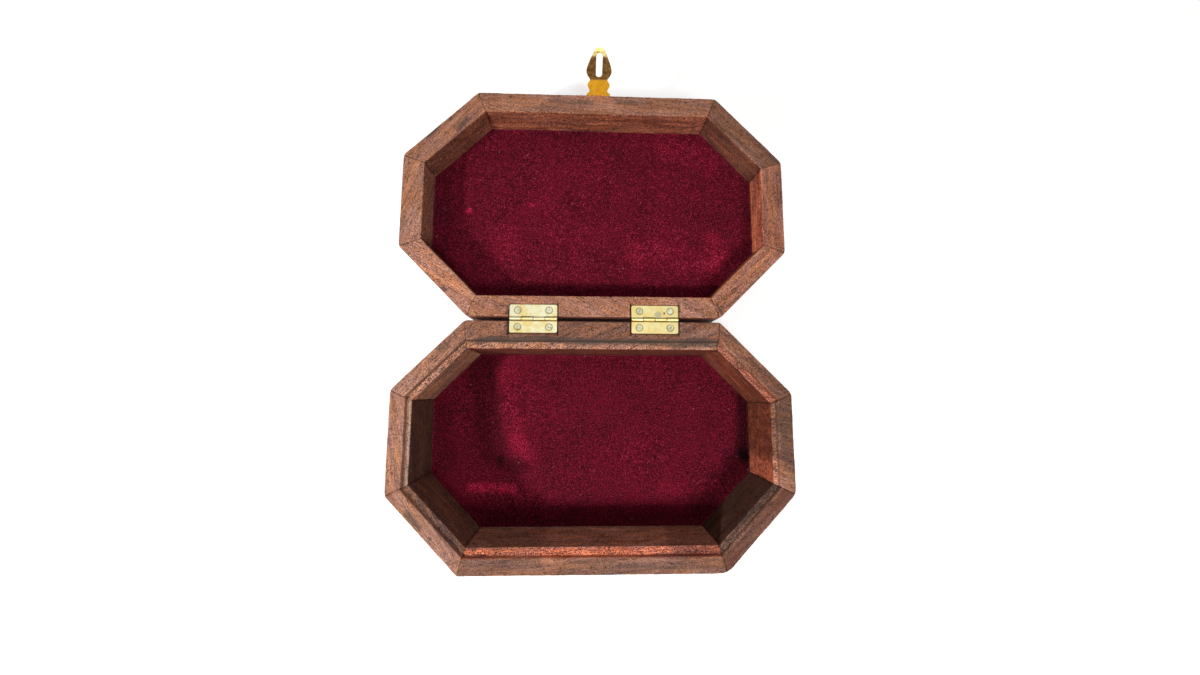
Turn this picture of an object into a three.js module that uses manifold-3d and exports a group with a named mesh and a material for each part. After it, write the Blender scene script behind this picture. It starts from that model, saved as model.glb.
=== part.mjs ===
// A long octagonal jewellery box of reddish-brown hardwood, lying open with its lid laid back flat.
// Both halves are rings of eight mitred staves closed by a board and lined with crimson velvet. Two brass
// butt hinges are let into the back rims, and a brass hasp flap on the lid goes over a staple on the base.
// Millimetres. The origin is the middle of the base's underside, +X runs along the hinges, +Y points from
// the base to the opened lid and +Z is up.
import * as THREE from "three";
import { mergeVertices } from "three/addons/utils/BufferGeometryUtils.js";
import Module from "manifold-3d";

const wasm = await Module();
wasm.setup();

// Overall sizes of the base and the lid. A cut is what one corner takes off along X and along Y, and the
// corners of this handmade box differ a little. Near is towards -Y, where the base has its front and the
// opened lid its back.
const boxWidth = 203.2;
const baseDepth = 124;
const baseHeight = 40;
const lidDepth = 122.8;
const lidHeight = 23.5;
const baseCuts = {
  nearLeft: [36.3, 37.3],
  nearRight: [35.8, 37.3],
  farRight: [36.1, 36.5],
  farLeft: [35.4, 35.3],
};
const lidCuts = {
  nearLeft: [36.2, 36.4],
  nearRight: [36, 35.8],
  farRight: [35.4, 36.2],
  farLeft: [38.2, 36.6],
};

// Wall thicknesses, and the ledge stepped into the base's inner top edge.
const baseWalls = { near: 12.8, far: 14.4, side: 10.7, corner: 11.2 };
const lidWalls = { near: 10.9, far: 10.9, side: 11.4, corner: 10.9 };
const ledgeWidths = { near: 4.2, far: 3.9, side: 2.5, corner: 3.3 };
const ledgeDrop = 1.6;
const glueLine = 0.12;

// Boards and linings.
const floorThickness = 4.6;
const lidBoardThickness = 5.6;
const lidBoardRound = 1.6;
const velvetThickness = 1.4;
const velvetGap = 0.3;

// The two butt hinges.
const hingeSpacing = 62.6;
const hingeLength = 24.3;
const hingeGap = 2.2;
const leafReach = 7.25;
const leafThickness = 0.8;
const leafCornerRadius = 0.9;
const rimGap = 0.3;
const barrelRadius = 0.95;
const barrelCount = 4;
const barrelClearance = 0.16;
const hingePinRadius = 0.45;
const pinClearance = 0.06;
const pinEndDepth = 0.2;
const mortiseEndGap = 0.4;
const mortiseClearance = 0.06;

// The hinges' countersunk screws.
const screwSpacing = 16;
const screwFromAxis = 4.35;
const screwHeadRadius = 1.65;
const screwHeadDepth = 0.6;
const screwShankRadius = 0.75;
const screwLength = 7;
const screwSlotWidth = 0.4;
const screwSlotDepth = 0.3;
const screwClearance = 0.06;
const screwTurns = { base: [-55, 10], lid: [25, 90] };

// The hasp. Its hinge axis lies on the lid's front, below the rim of the opened lid. The flap runs from
// that axis in a lobe, a spade with a slot and a curled tip.
const haspX = 1.6;
const haspFromRim = 3;
const haspFromFace = 1.3;
const haspBarrelRadius = 1.1;
const haspPinRadius = 0.5;
const haspBarrelWidth = 12.8;
const haspBarrelGap = 0.2;
const haspThickness = 0.8;
const haspSeat = 0.06;
const flapRestAngle = 20;
const lobeLength = 8.9;
const lobeAngle = 12;
const spadeLength = 12.8;
const tipLength = 2.2;
const tipAngles = [18, 36];
const slotStart = 10.1;
const slotEnd = 22.9;
const slotHalfWidth = 1.65;
const flapHalfWidths = [
  [1.3, haspBarrelWidth / 2], [3, 4.8], [6.1, 6.1], [8.7, 4.6], [11, 5.9], [13.4, 6.7],
  [16.4, 6], [19.7, 4.7], [22.5, 3.4], [24, 2.6], [24.9, 1.6], [25.3, 0.7],
];
const plateHalfWidths = [
  [1.9, haspBarrelWidth / 2], [4.2, haspBarrelWidth / 2], [5.6, 5], [7.6, 5.4], [9.4, 5.2], [11, 3.6],
  [12.2, 3.3], [13.6, 4.1], [15, 4], [16.6, 2.6], [18, 0.9],
];
const plateNails = [[-3.1, 8], [3.1, 8], [0, 14.6]];
const nailHeadRadius = 1.2;
const nailHeadHeight = 0.7;
const nailRadius = 0.55;
const nailLength = 6.5;
const nailPointLength = 1.2;
const nailClearance = 0.06;

// The staple on the base's front that the flap's slot goes over.
const stapleFromRim = 13.5;
const stapleBendRadius = 2.6;
const stapleStandOff = 1.6;
const stapleWireRadius = 0.8;
const stapleLegLength = 7;
const stapleClearance = 0.1;

// Brass let into the outer face of the lid's board.
const inlayDepth = 1;
const inlayClearance = 0.06;
const borderInset = 14;
const borderWidth = 1.8;
const borderJoint = 0.3;
const petalCount = 8;
const petalStart = 4.6;
const petalLength = 17;
const petalHalfWidth = 3;
const discRadius = 3.4;

// How far a cutting shape runs on past what it cuts.
const overcut = 1;

const wood = (colour) => new THREE.MeshStandardMaterial({ color: colour, roughness: 0.62, metalness: 0 });
const rimWood = wood(0x8f5f4c);
const boardWood = wood(0x7d5140);
const hingeBrass = new THREE.MeshStandardMaterial({ color: 0xd9bf6a, roughness: 0.28, metalness: 1 });
const haspBrass = new THREE.MeshStandardMaterial({ color: 0xc9952a, roughness: 0.3, metalness: 1 });
const screwMetal = new THREE.MeshStandardMaterial({ color: 0xc9c39a, roughness: 0.35, metalness: 1 });
const velvet = new THREE.MeshStandardMaterial({ color: 0x6b0b26, roughness: 1, metalness: 0 });

// Places worked out from the sizes above.
const rimZ = baseHeight;
const backFaceY = baseDepth / 2;
const hingeAxis = { y: backFaceY + hingeGap / 2, z: rimZ + rimGap / 2 };
const lidMiddleY = backFaceY + hingeGap + lidDepth / 2;
const lidFrontY = lidMiddleY + lidDepth / 2;
const lidOuterZ = rimZ - lidHeight;
const haspAxis = { y: lidFrontY + haspFromFace, z: rimZ - haspFromRim };
const hingeCentres = { left: -hingeSpacing / 2, right: hingeSpacing / 2 };
const sideNames = ["near", "corner", "side", "corner", "far", "corner", "side", "corner"];

const degrees = (angle) => (angle * Math.PI) / 180;
const vector = (x, y) => new THREE.Vector2(x, y);

// A closed geometry as a solid that can be joined and cut.
function solidOf(geometry) {
  const bare = geometry.clone();
  bare.deleteAttribute("normal");
  bare.deleteAttribute("uv");
  const merged = mergeVertices(bare, 1e-4);
  return new wasm.Manifold(
    new wasm.Mesh({
      numProp: 3,
      vertProperties: merged.attributes.position.array,
      triVerts: new Uint32Array(merged.index.array),
    }),
  );
}

function meshOf(name, solid, material) {
  const cut = solid.getMesh();
  const geometry = new THREE.BufferGeometry();
  geometry.setAttribute("position", new THREE.BufferAttribute(cut.vertProperties, 3));
  geometry.setIndex(new THREE.BufferAttribute(cut.triVerts, 1));
  geometry.computeVertexNormals();
  const mesh = new THREE.Mesh(geometry, material);
  mesh.name = name;
  return mesh;
}

// An upright prism over an outline in X and Y.
function prism(points, lowZ, highZ) {
  const geometry = new THREE.ExtrudeGeometry(new THREE.Shape(points), {
    depth: highZ - lowZ,
    bevelEnabled: false,
    curveSegments: 8,
  });
  return solidOf(geometry.translate(0, 0, lowZ));
}

function block(low, high) {
  const size = high.map((value, axis) => value - low[axis]);
  const geometry = new THREE.BoxGeometry(...size);
  return solidOf(geometry.translate(...size.map((value, axis) => low[axis] + value / 2)));
}

// A turned solid about the Z axis, from its radius and height pairs listed upwards from the axis.
function turned(profile, sides = 14) {
  const points = profile.map(([radius, height]) => vector(radius, height));
  return solidOf(new THREE.LatheGeometry(points, sides).rotateX(Math.PI / 2));
}

function rod(radius, low, high, sides = 14) {
  return turned([[0, low], [radius, low], [radius, high], [0, high]], sides);
}

// A rod along X, for barrels, pins and bores.
function rodAlongX(radius, low, high, sides = 16) {
  return rod(radius, low, high, sides).rotate([0, 90, 0]);
}

// The eight corners of a half, anticlockwise from the left end of its near side.
function octagon(width, depth, cuts) {
  const w = width / 2;
  const d = depth / 2;
  return [
    vector(-w + cuts.nearLeft[0], -d), vector(w - cuts.nearRight[0], -d),
    vector(w, -d + cuts.nearRight[1]), vector(w, d - cuts.farRight[1]),
    vector(w - cuts.farRight[0], d), vector(-w + cuts.farLeft[0], d),
    vector(-w, d - cuts.farLeft[1]), vector(-w, -d + cuts.nearLeft[1]),
  ];
}

// The outline with each side moved inwards by its own width: each corner is where two moved sides meet.
function inset(outline, widths) {
  const count = outline.length;
  const sides = outline.map((start, i) => {
    const along = outline[(i + 1) % count].clone().sub(start).normalize();
    const inwards = vector(-along.y, along.x);
    return { start: start.clone().addScaledVector(inwards, widths[i]), along };
  });
  return sides.map((side, i) => {
    const last = sides[(i + count - 1) % count];
    const between = side.start.clone().sub(last.start);
    const travel = between.cross(side.along) / last.along.cross(side.along);
    return last.start.clone().addScaledVector(last.along, travel);
  });
}

const insetBy = (outline, width) => inset(outline, outline.map(() => width));
const widthsOf = (named) => sideNames.map((name) => named[name]);

// One stave between two corners, its ends drawn back from the mitre lines by half a glue line.
function stave(outer, inner, i, lowZ, highZ) {
  const next = (i + 1) % outer.length;
  const along = outer[next].clone().sub(outer[i]).normalize();
  const shift = (corner) => {
    const mitre = inner[corner].clone().sub(outer[corner]).normalize();
    return glueLine / 2 / Math.abs(along.cross(mitre));
  };
  const start = (point) => point.clone().addScaledVector(along, shift(i));
  const end = (point) => point.clone().addScaledVector(along, -shift(next));
  return prism([start(outer[i]), end(outer[next]), end(inner[next]), start(inner[i])], lowZ, highZ);
}

// A half's outlines: the outer one, the inner one of its walls and the inner one of its rim.
function outlinesOf(depth, cuts, walls, ledges) {
  const outer = octagon(boxWidth, depth, cuts);
  const wallWidths = widthsOf(walls);
  const ledgeList = ledges ? widthsOf(ledges) : wallWidths.map(() => 0);
  const inner = inset(outer, wallWidths);
  const rim = inset(outer, wallWidths.map((width, i) => width - ledgeList[i]));
  return { outer, inner, rim };
}

const baseOutlines = outlinesOf(baseDepth, baseCuts, baseWalls, ledgeWidths);
const lidOutlines = outlinesOf(lidDepth, lidCuts, lidWalls, null);

// Screws stand on their head's flat at the rim, with the shank downwards. The same profile, made wider by
// a clearance, is the hole for one.
function screwBody(clearance) {
  const tip = -screwLength - clearance;
  return turned([
    [0, tip],
    [screwShankRadius * 0.4 + clearance, tip],
    [screwShankRadius + clearance, tip + screwShankRadius * 2],
    [screwShankRadius + clearance, -screwHeadDepth],
    [screwHeadRadius + clearance, 0],
    [screwHeadRadius + clearance, clearance],
    [0, clearance],
  ]);
}

const screwPlaces = (centreX, side) =>
  [-1, 1].map((end) => [centreX + (end * screwSpacing) / 2, hingeAxis.y + side * screwFromAxis]);

// What the two hinges take out of a back rim: a shallow bed for each leaf, and a hole for each screw.
function cutHingeBeds(solid, side, offsetY) {
  let left = solid;
  for (const centreX of Object.values(hingeCentres)) {
    const half = hingeLength / 2 + mortiseEndGap;
    const far = hingeAxis.y + side * (leafReach + mortiseClearance);
    const open = hingeAxis.y;
    left = left.subtract(
      block(
        [centreX - half, Math.min(far, open) - offsetY, rimZ - leafThickness - mortiseClearance],
        [centreX + half, Math.max(far, open) - offsetY, rimZ + overcut],
      ),
    );
    for (const [x, y] of screwPlaces(centreX, side)) {
      left = left.subtract(screwBody(screwClearance).translate([x, y - offsetY, rimZ]));
    }
  }
  return left;
}

const haspPlateBack = lidFrontY + haspSeat;

// The hole that a nail of the hasp plate needs, through the plate and into the lid's front.
function nailHole(x, fromRim) {
  return rod(nailRadius + nailClearance, -nailLength - nailClearance, haspThickness + overcut, 10)
    .rotate([-90, 0, 0])
    .translate([haspX + x, haspPlateBack, rimZ - fromRim]);
}

function stapleLegHole(side) {
  const reach = stapleLegLength + stapleClearance;
  return rod(stapleWireRadius + stapleClearance, -overcut, reach, 12)
    .rotate([-90, 0, 0])
    .translate([haspX, -backFaceY, rimZ - stapleFromRim + side * stapleBendRadius]);
}

const box = new THREE.Group();
const lid = new THREE.Group();
lid.position.y = lidMiddleY;
box.add(lid);

// The base's eight staves, with the ledge stepped down all round inside their rim.
const ledgeRoom = prism(baseOutlines.rim, rimZ - ledgeDrop, rimZ + overcut);
const baseStaves = [
  "base_wall_front", "base_wall_front_right", "base_wall_right", "base_wall_back_right",
  "base_wall_back", "base_wall_back_left", "base_wall_left", "base_wall_front_left",
];
baseStaves.forEach((name, i) => {
  let solid = stave(baseOutlines.outer, baseOutlines.inner, i, 0, rimZ);
  solid = solid.subtract(ledgeRoom);
  if (name === "base_wall_back") solid = cutHingeBeds(solid, -1, 0);
  if (name === "base_wall_front") {
    for (const side of [-1, 1]) solid = solid.subtract(stapleLegHole(side));
  }
  box.add(meshOf(name, solid, rimWood));
});

const baseRoom = insetBy(baseOutlines.inner, glueLine);
box.add(meshOf("base_floor_board", prism(baseRoom, 0, floorThickness), boardWood));
const baseVelvetOutline = insetBy(baseOutlines.inner, velvetGap);
const baseVelvetLow = floorThickness + glueLine;
const baseVelvet = prism(baseVelvetOutline, baseVelvetLow, baseVelvetLow + velvetThickness);
box.add(meshOf("base_velvet", baseVelvet, velvet));

// The lid's eight staves stand on its board, which is the top of the closed box and lies lowest here.
const lidBoardTop = lidOuterZ + lidBoardThickness;
const lidStaves = [
  "lid_wall_back", "lid_wall_back_right", "lid_wall_right", "lid_wall_front_right",
  "lid_wall_front", "lid_wall_front_left", "lid_wall_left", "lid_wall_back_left",
];
lidStaves.forEach((name, i) => {
  let solid = stave(lidOutlines.outer, lidOutlines.inner, i, lidBoardTop + glueLine, rimZ);
  if (name === "lid_wall_back") solid = cutHingeBeds(solid, 1, lidMiddleY);
  if (name === "lid_wall_front") {
    for (const [x, fromRim] of plateNails) {
      solid = solid.subtract(nailHole(x, fromRim).translate([0, -lidMiddleY, 0]));
    }
  }
  lid.add(meshOf(name, solid, rimWood));
});

// The board's outer edge is rounded: a bevelled plate, cut off flat where the staves stand on it.
function roundedBoard() {
  const geometry = new THREE.ExtrudeGeometry(new THREE.Shape(lidOutlines.outer), {
    depth: lidBoardThickness,
    bevelThickness: lidBoardRound,
    bevelSize: lidBoardRound,
    bevelOffset: -lidBoardRound,
    bevelSegments: 3,
  });
  const plate = solidOf(geometry.translate(0, 0, lidOuterZ + lidBoardRound));
  return plate.intersect(prism(insetBy(lidOutlines.outer, -overcut), lidOuterZ - overcut, lidBoardTop));
}

// Inlay pieces are upright prisms, and each one's bed in the board is the same outline made wider.
const inlayTop = lidOuterZ + inlayDepth;
const borderOuter = insetBy(lidOutlines.outer, borderInset);
const borderInner = insetBy(borderOuter, borderWidth);

function borderStrip(i) {
  const next = (i + 1) % borderOuter.length;
  const along = borderOuter[next].clone().sub(borderOuter[i]).normalize();
  const start = (point) => point.clone().addScaledVector(along, borderJoint);
  const end = (point) => point.clone().addScaledVector(along, -borderJoint);
  return [start(borderOuter[i]), end(borderOuter[next]), end(borderInner[next]), start(borderInner[i])];
}

// A petal points outwards from the middle, between two bowed edges that meet in a point at both ends.
function petal(i) {
  const steps = 6;
  const bulge = (t) => petalHalfWidth * Math.sin(Math.PI * t) ** 0.8;
  const at = (t, side) => vector(petalStart + petalLength * t, side * bulge(t));
  const edge = [];
  for (let k = 0; k <= steps; k++) edge.push(at(k / steps, -1));
  for (let k = steps - 1; k > 0; k--) edge.push(at(k / steps, 1));
  return edge.map((point) => point.rotateAround(vector(0, 0), (2 * Math.PI * i) / petalCount));
}

function disc() {
  const sides = 20;
  const corner = (_, k) => vector(discRadius, 0).rotateAround(vector(0, 0), (2 * Math.PI * k) / sides);
  return Array.from({ length: sides }, corner);
}

const inlays = [];
borderOuter.forEach((_, i) => inlays.push([`inlay_border_${i + 1}`, borderStrip(i)]));
for (let i = 0; i < petalCount; i++) inlays.push([`inlay_petal_${i + 1}`, petal(i)]);
inlays.push(["inlay_centre_disc", disc()]);

let board = roundedBoard();
for (const [name, outline] of inlays) {
  const bedOutline = insetBy(outline, -inlayClearance);
  board = board.subtract(prism(bedOutline, lidOuterZ - overcut, inlayTop + inlayClearance));
  lid.add(meshOf(name, prism(outline, lidOuterZ, inlayTop), haspBrass));
}
lid.add(meshOf("lid_top_board", board, boardWood));
const lidVelvetOutline = insetBy(lidOutlines.inner, velvetGap);
const lidVelvetLow = lidBoardTop + glueLine;
const lidVelvet = prism(lidVelvetOutline, lidVelvetLow, lidVelvetLow + velvetThickness);
lid.add(meshOf("lid_velvet", lidVelvet, velvet));

// A hinge leaf, made about the hinge axis: a plate with rounded outer corners, and at every second place
// along the axis a barrel that the plate reaches with a tongue. Side is -1 on the base and +1 on the lid.
function hingeLeaf(side, firstBarrel) {
  const half = hingeLength / 2;
  const inner = barrelRadius + barrelClearance;
  const lowZ = -rimGap / 2 - leafThickness;
  const highZ = -rimGap / 2;
  const roundX = half - leafCornerRadius;
  const roundY = leafReach - leafCornerRadius;
  const shape = new THREE.Shape();
  shape.moveTo(-half, inner);
  shape.lineTo(half, inner);
  shape.lineTo(half, roundY);
  shape.absarc(roundX, roundY, leafCornerRadius, 0, Math.PI / 2);
  shape.lineTo(-roundX, leafReach);
  shape.absarc(-roundX, roundY, leafCornerRadius, Math.PI / 2, Math.PI);
  const geometry = new THREE.ExtrudeGeometry(shape, {
    depth: leafThickness,
    bevelEnabled: false,
    curveSegments: 4,
  });
  let leaf = solidOf(geometry.translate(0, 0, lowZ));
  const pitch = hingeLength / barrelCount;
  for (let i = firstBarrel; i < barrelCount; i += 2) {
    const start = -half + i * pitch + (i > 0 ? barrelClearance / 2 : 0);
    const end = -half + (i + 1) * pitch - (i < barrelCount - 1 ? barrelClearance / 2 : 0);
    leaf = leaf.add(block([start, 0, lowZ], [end, inner + overcut, highZ]));
    leaf = leaf.add(rodAlongX(barrelRadius, start, end));
  }
  leaf = leaf.subtract(rodAlongX(hingePinRadius + pinClearance, -half - overcut, half + overcut));
  for (const end of [-1, 1]) {
    const place = [(end * screwSpacing) / 2, screwFromAxis, highZ];
    leaf = leaf.subtract(screwBody(screwClearance).translate(place));
  }
  return side > 0 ? leaf : leaf.mirror([0, 1, 0]);
}

function screw() {
  const slot = block(
    [-screwHeadRadius - overcut, -screwSlotWidth / 2, -screwSlotDepth],
    [screwHeadRadius + overcut, screwSlotWidth / 2, overcut],
  );
  return screwBody(0).subtract(slot);
}

// Each hinge, with its screws turned so that no two slots line up.
for (const [place, centreX] of Object.entries(hingeCentres)) {
  const at = [centreX, hingeAxis.y, hingeAxis.z];
  const pinHalf = hingeLength / 2 - pinEndDepth;
  const pin = rodAlongX(hingePinRadius, -pinHalf, pinHalf);
  box.add(meshOf(`hinge_${place}_base_leaf`, hingeLeaf(-1, 1).translate(at), hingeBrass));
  box.add(meshOf(`hinge_${place}_lid_leaf`, hingeLeaf(1, 0).translate(at), hingeBrass));
  box.add(meshOf(`hinge_${place}_pin`, pin.translate(at), hingeBrass));
  for (const [part, side] of [["base", -1], ["lid", 1]]) {
    screwPlaces(centreX, side).forEach(([x, y], i) => {
      const turn = centreX + screwTurns[part][i];
      const name = `screw_${place}_${part}_${i + 1}`;
      box.add(meshOf(name, screw().rotate([0, 0, turn]).translate([x, y, rimZ]), screwMetal));
    });
  }
}

// A sheet piece of the hasp lies flat in X and Z with its hinge axis at the origin, and is as wide at each
// height as its half widths say. Only the part between two heights is made.
function haspSheet(halfWidths, from, to) {
  const curve = new THREE.SplineCurve(halfWidths.map(([height, half]) => vector(half, height)));
  const steps = halfWidths.length * 3;
  const right = curve.getPoints(steps);
  const outline = [...right, ...right.slice().reverse().map((point) => vector(-point.x, point.y))];
  const geometry = new THREE.ExtrudeGeometry(new THREE.Shape(outline), {
    depth: haspThickness,
    bevelEnabled: false,
  });
  const sheet = solidOf(geometry.translate(0, 0, -haspThickness / 2).rotateX(Math.PI / 2));
  const low = [-haspBarrelWidth, -haspThickness, from];
  const high = [haspBarrelWidth, haspThickness, to];
  return sheet.intersect(block(low, high));
}

// The barrels of the hasp hinge: the flap has the two outer ones and the plate the middle one.
const middleBarrelEnd = haspBarrelWidth / 6 - haspBarrelGap / 2;
const outerBarrelStart = haspBarrelWidth / 6 + haspBarrelGap / 2;
const middleBarrel = [-middleBarrelEnd, middleBarrelEnd];
const outerBarrels = [
  [-haspBarrelWidth / 2, -outerBarrelStart],
  [outerBarrelStart, haspBarrelWidth / 2],
];
const haspBore = rodAlongX(haspPinRadius + pinClearance, -haspBarrelWidth, haspBarrelWidth);
const barrelRoom = haspBarrelRadius + haspBarrelGap;

// The plate hangs from the axis along the lid's front, so its heights run downwards.
function haspPlate() {
  const fromAxis = plateHalfWidths.map(([fromRim, half]) => [haspFromRim - fromRim, half]).reverse();
  const lowest = fromAxis[0][0];
  const middle = haspSeat + haspThickness / 2 - haspFromFace;
  let plate = haspSheet(fromAxis, lowest - overcut, fromAxis.at(-1)[0]).translate([0, middle, 0]);
  for (const [start, end] of outerBarrels) {
    const low = [start - haspBarrelGap, -barrelRoom, -barrelRoom];
    const high = [end + haspBarrelGap, barrelRoom, barrelRoom];
    plate = plate.subtract(block(low, high));
  }
  plate = plate.add(rodAlongX(haspBarrelRadius, ...middleBarrel));
  plate = plate.subtract(haspBore).translate([haspX, haspAxis.y, haspAxis.z]);
  for (const [x, fromRim] of plateNails) plate = plate.subtract(nailHole(x, fromRim));
  return plate;
}

// The flap is made standing straight up from its axis. Each stretch of it is a flat sheet, cut to length
// with a small overlap, leaned outwards by its angle and carried to the end of the stretch before.
function haspFlap() {
  const stretches = [[lobeLength, lobeAngle], [spadeLength, 0]];
  for (const angle of tipAngles) stretches.push([tipLength, angle]);
  const lap = haspThickness / 3;
  let flap = null;
  let travelled = 0;
  let at = [0, 0, 0];
  stretches.forEach(([length, angle], i) => {
    const last = i === stretches.length - 1;
    const from = i === 0 ? travelled : travelled - lap;
    const to = travelled + length + (last ? overcut : lap);
    const piece = slotted(haspSheet(flapHalfWidths, from, to))
      .translate([0, 0, -travelled])
      .rotate([-angle, 0, 0])
      .translate(at);
    flap = flap ? flap.add(piece) : piece;
    travelled += length;
    at = [0, at[1] + length * Math.sin(degrees(angle)), at[2] + length * Math.cos(degrees(angle))];
  });
  const low = [middleBarrel[0] - haspBarrelGap, -barrelRoom, -barrelRoom];
  const high = [middleBarrel[1] + haspBarrelGap, barrelRoom, barrelRoom];
  flap = flap.subtract(block(low, high));
  const tongueTop = flapHalfWidths[0][0] + lap;
  for (const [start, end] of outerBarrels) {
    const tongue = block([start, -haspThickness / 2, 0], [end, haspThickness / 2, tongueTop]);
    flap = flap.add(rodAlongX(haspBarrelRadius, start, end)).add(tongue.rotate([-lobeAngle, 0, 0]));
  }
  return flap.subtract(haspBore);
}

// The slot through the flap, straight sided with round ends, along the sheet before it is bent.
function slotted(sheet) {
  const shape = new THREE.Shape();
  shape.absarc(0, slotStart + slotHalfWidth, slotHalfWidth, Math.PI, 2 * Math.PI);
  shape.absarc(0, slotEnd - slotHalfWidth, slotHalfWidth, 0, Math.PI);
  const geometry = new THREE.ExtrudeGeometry(shape, {
    depth: 4 * haspThickness,
    bevelEnabled: false,
    curveSegments: 8,
  });
  return sheet.subtract(solidOf(geometry.translate(0, 0, -2 * haspThickness).rotateX(Math.PI / 2)));
}

box.add(meshOf("hasp_plate", haspPlate(), haspBrass));
const haspPinHalf = haspBarrelWidth / 2 - pinEndDepth;
const haspPin = rodAlongX(haspPinRadius, -haspPinHalf, haspPinHalf);
box.add(meshOf("hasp_pin", haspPin.translate([haspX, haspAxis.y, haspAxis.z]), haspBrass));
const flapHolder = new THREE.Group();
flapHolder.position.set(haspX, haspAxis.y, haspAxis.z);
flapHolder.rotation.x = -degrees(flapRestAngle);
flapHolder.add(meshOf("hasp_flap", haspFlap(), haspBrass));
box.add(flapHolder);

plateNails.forEach(([x, fromRim], i) => {
  const nail = turned([
    [0, -nailLength],
    [nailRadius * 0.3, -nailLength],
    [nailRadius, -nailLength + nailPointLength],
    [nailRadius, haspThickness + nailClearance],
    [nailHeadRadius, haspThickness + nailClearance],
    [nailHeadRadius * 0.8, haspThickness + nailHeadHeight * 0.6],
    [nailHeadRadius * 0.4, haspThickness + nailHeadHeight],
    [0, haspThickness + nailHeadHeight],
  ], 12);
  const placed = nail.rotate([-90, 0, 0]).translate([haspX + x, haspPlateBack, rimZ - fromRim]);
  box.add(meshOf(`hasp_nail_${i + 1}`, placed, haspBrass));
});

// The staple is one wire: a leg driven into the front, half a turn, and the other leg. A quarter turn is a
// cubic curve whose handles are this share of the radius.
const arcHandle = 0.5523;
function staple() {
  const r = stapleBendRadius;
  const handle = r * arcHandle;
  const at = (out, up) => new THREE.Vector3(0, -out, up);
  const path = new THREE.CurvePath();
  const s = stapleStandOff;
  path.add(new THREE.LineCurve3(at(-stapleLegLength, r), at(s, r)));
  path.add(new THREE.CubicBezierCurve3(at(s, r), at(s + handle, r), at(s + r, handle), at(s + r, 0)));
  path.add(new THREE.CubicBezierCurve3(at(s + r, 0), at(s + r, -handle), at(s + handle, -r), at(s, -r)));
  path.add(new THREE.LineCurve3(at(s, -r), at(-stapleLegLength, -r)));
  const section = new THREE.Shape().absarc(0, 0, stapleWireRadius, 0, 2 * Math.PI);
  const geometry = new THREE.ExtrudeGeometry(section, {
    steps: 32,
    extrudePath: path,
    curveSegments: 5,
    bevelEnabled: false,
  });
  return solidOf(geometry).translate([haspX, -backFaceY, rimZ - stapleFromRim]);
}
box.add(meshOf("keeper_staple", staple(), haspBrass));

export default box;
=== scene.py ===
import bmesh
import bpy
import numpy as np
from mathutils import Euler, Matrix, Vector


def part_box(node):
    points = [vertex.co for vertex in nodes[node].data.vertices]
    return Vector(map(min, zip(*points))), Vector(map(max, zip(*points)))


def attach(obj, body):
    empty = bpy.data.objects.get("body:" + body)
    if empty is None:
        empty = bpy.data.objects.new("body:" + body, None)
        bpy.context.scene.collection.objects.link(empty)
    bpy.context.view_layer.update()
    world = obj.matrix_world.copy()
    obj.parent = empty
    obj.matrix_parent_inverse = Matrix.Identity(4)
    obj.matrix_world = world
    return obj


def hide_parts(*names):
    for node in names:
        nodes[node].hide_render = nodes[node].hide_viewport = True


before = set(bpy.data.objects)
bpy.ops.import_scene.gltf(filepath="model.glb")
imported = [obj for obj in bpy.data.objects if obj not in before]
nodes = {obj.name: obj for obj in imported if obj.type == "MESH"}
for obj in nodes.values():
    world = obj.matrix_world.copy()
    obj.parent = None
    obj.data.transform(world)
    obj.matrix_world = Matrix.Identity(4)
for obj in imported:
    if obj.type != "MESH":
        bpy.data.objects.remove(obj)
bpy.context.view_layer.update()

# The view: almost straight down on the open box from close by, a little nearer to the base than to the lid
# and leaning a few degrees towards the lid.
MM = 0.001
scene = bpy.context.scene
camera = bpy.data.objects.new("camera", bpy.data.cameras.new("camera"))
camera.data.lens = 13.47
camera.data.sensor_width = 36
camera.location = (-5.61 * MM, 26.59 * MM, 268.39 * MM)
camera.rotation_euler = Euler(np.radians((6.73, -2.1611, 0.193)))
scene.collection.objects.link(camera)
scene.camera = camera
scene.view_settings.view_transform = "Standard"


# The light: a low lamp at the left front, a higher one at the front, a weak wide one overhead, and a faint
# even light from the room.
def lamp(name, towards, distance, size, power, tint):
    """A square lamp at a distance from the box's middle along a direction, turned to face that middle."""
    light = bpy.data.lights.new(name, "AREA")
    light.size = size
    light.energy = power
    light.color = tint
    piece = bpy.data.objects.new(name, light)
    away = Vector(towards).normalized()
    piece.location = Vector((0, 0.05, 0.03)) + away * distance
    piece.rotation_euler = away.to_track_quat("Z", "Y").to_euler()
    scene.collection.objects.link(piece)


lamp("lamp_left", (-42, -20, 34), 0.8, 0.06, 4.3, (1, 0.985, 0.96))
lamp("lamp_front", (8, -19, 34), 0.9, 0.2, 4.3, (1, 0.985, 0.96))
lamp("lamp_over", (0, 12, 34), 0.9, 0.5, 1.0, (1, 1, 1))
scene.world = bpy.data.worlds.new("room")
scene.world.use_nodes = True
scene.world.node_tree.nodes["Background"].inputs["Color"].default_value = (1, 1, 1, 1)
scene.world.node_tree.nodes["Background"].inputs["Strength"].default_value = 0.19


class Socket:
    """One output of a node. + - * and ** on it, with numbers or other outputs, add their Math nodes."""

    def __init__(self, finish, link):
        self.finish = finish
        self.link = link

    def maths(self, operation, first, second):
        return self.finish.node("ShaderNodeMath", {"operation": operation}, {0: first, 1: second})

    def __add__(self, other):
        return self.maths("ADD", self, other)

    def __sub__(self, other):
        return self.maths("SUBTRACT", self, other)

    def __mul__(self, other):
        return self.maths("MULTIPLY", self, other)

    def __rsub__(self, other):
        return self.maths("SUBTRACT", other, self)

    def __pow__(self, other):
        return self.maths("POWER", self, other)

    __radd__ = __add__
    __rmul__ = __mul__


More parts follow.
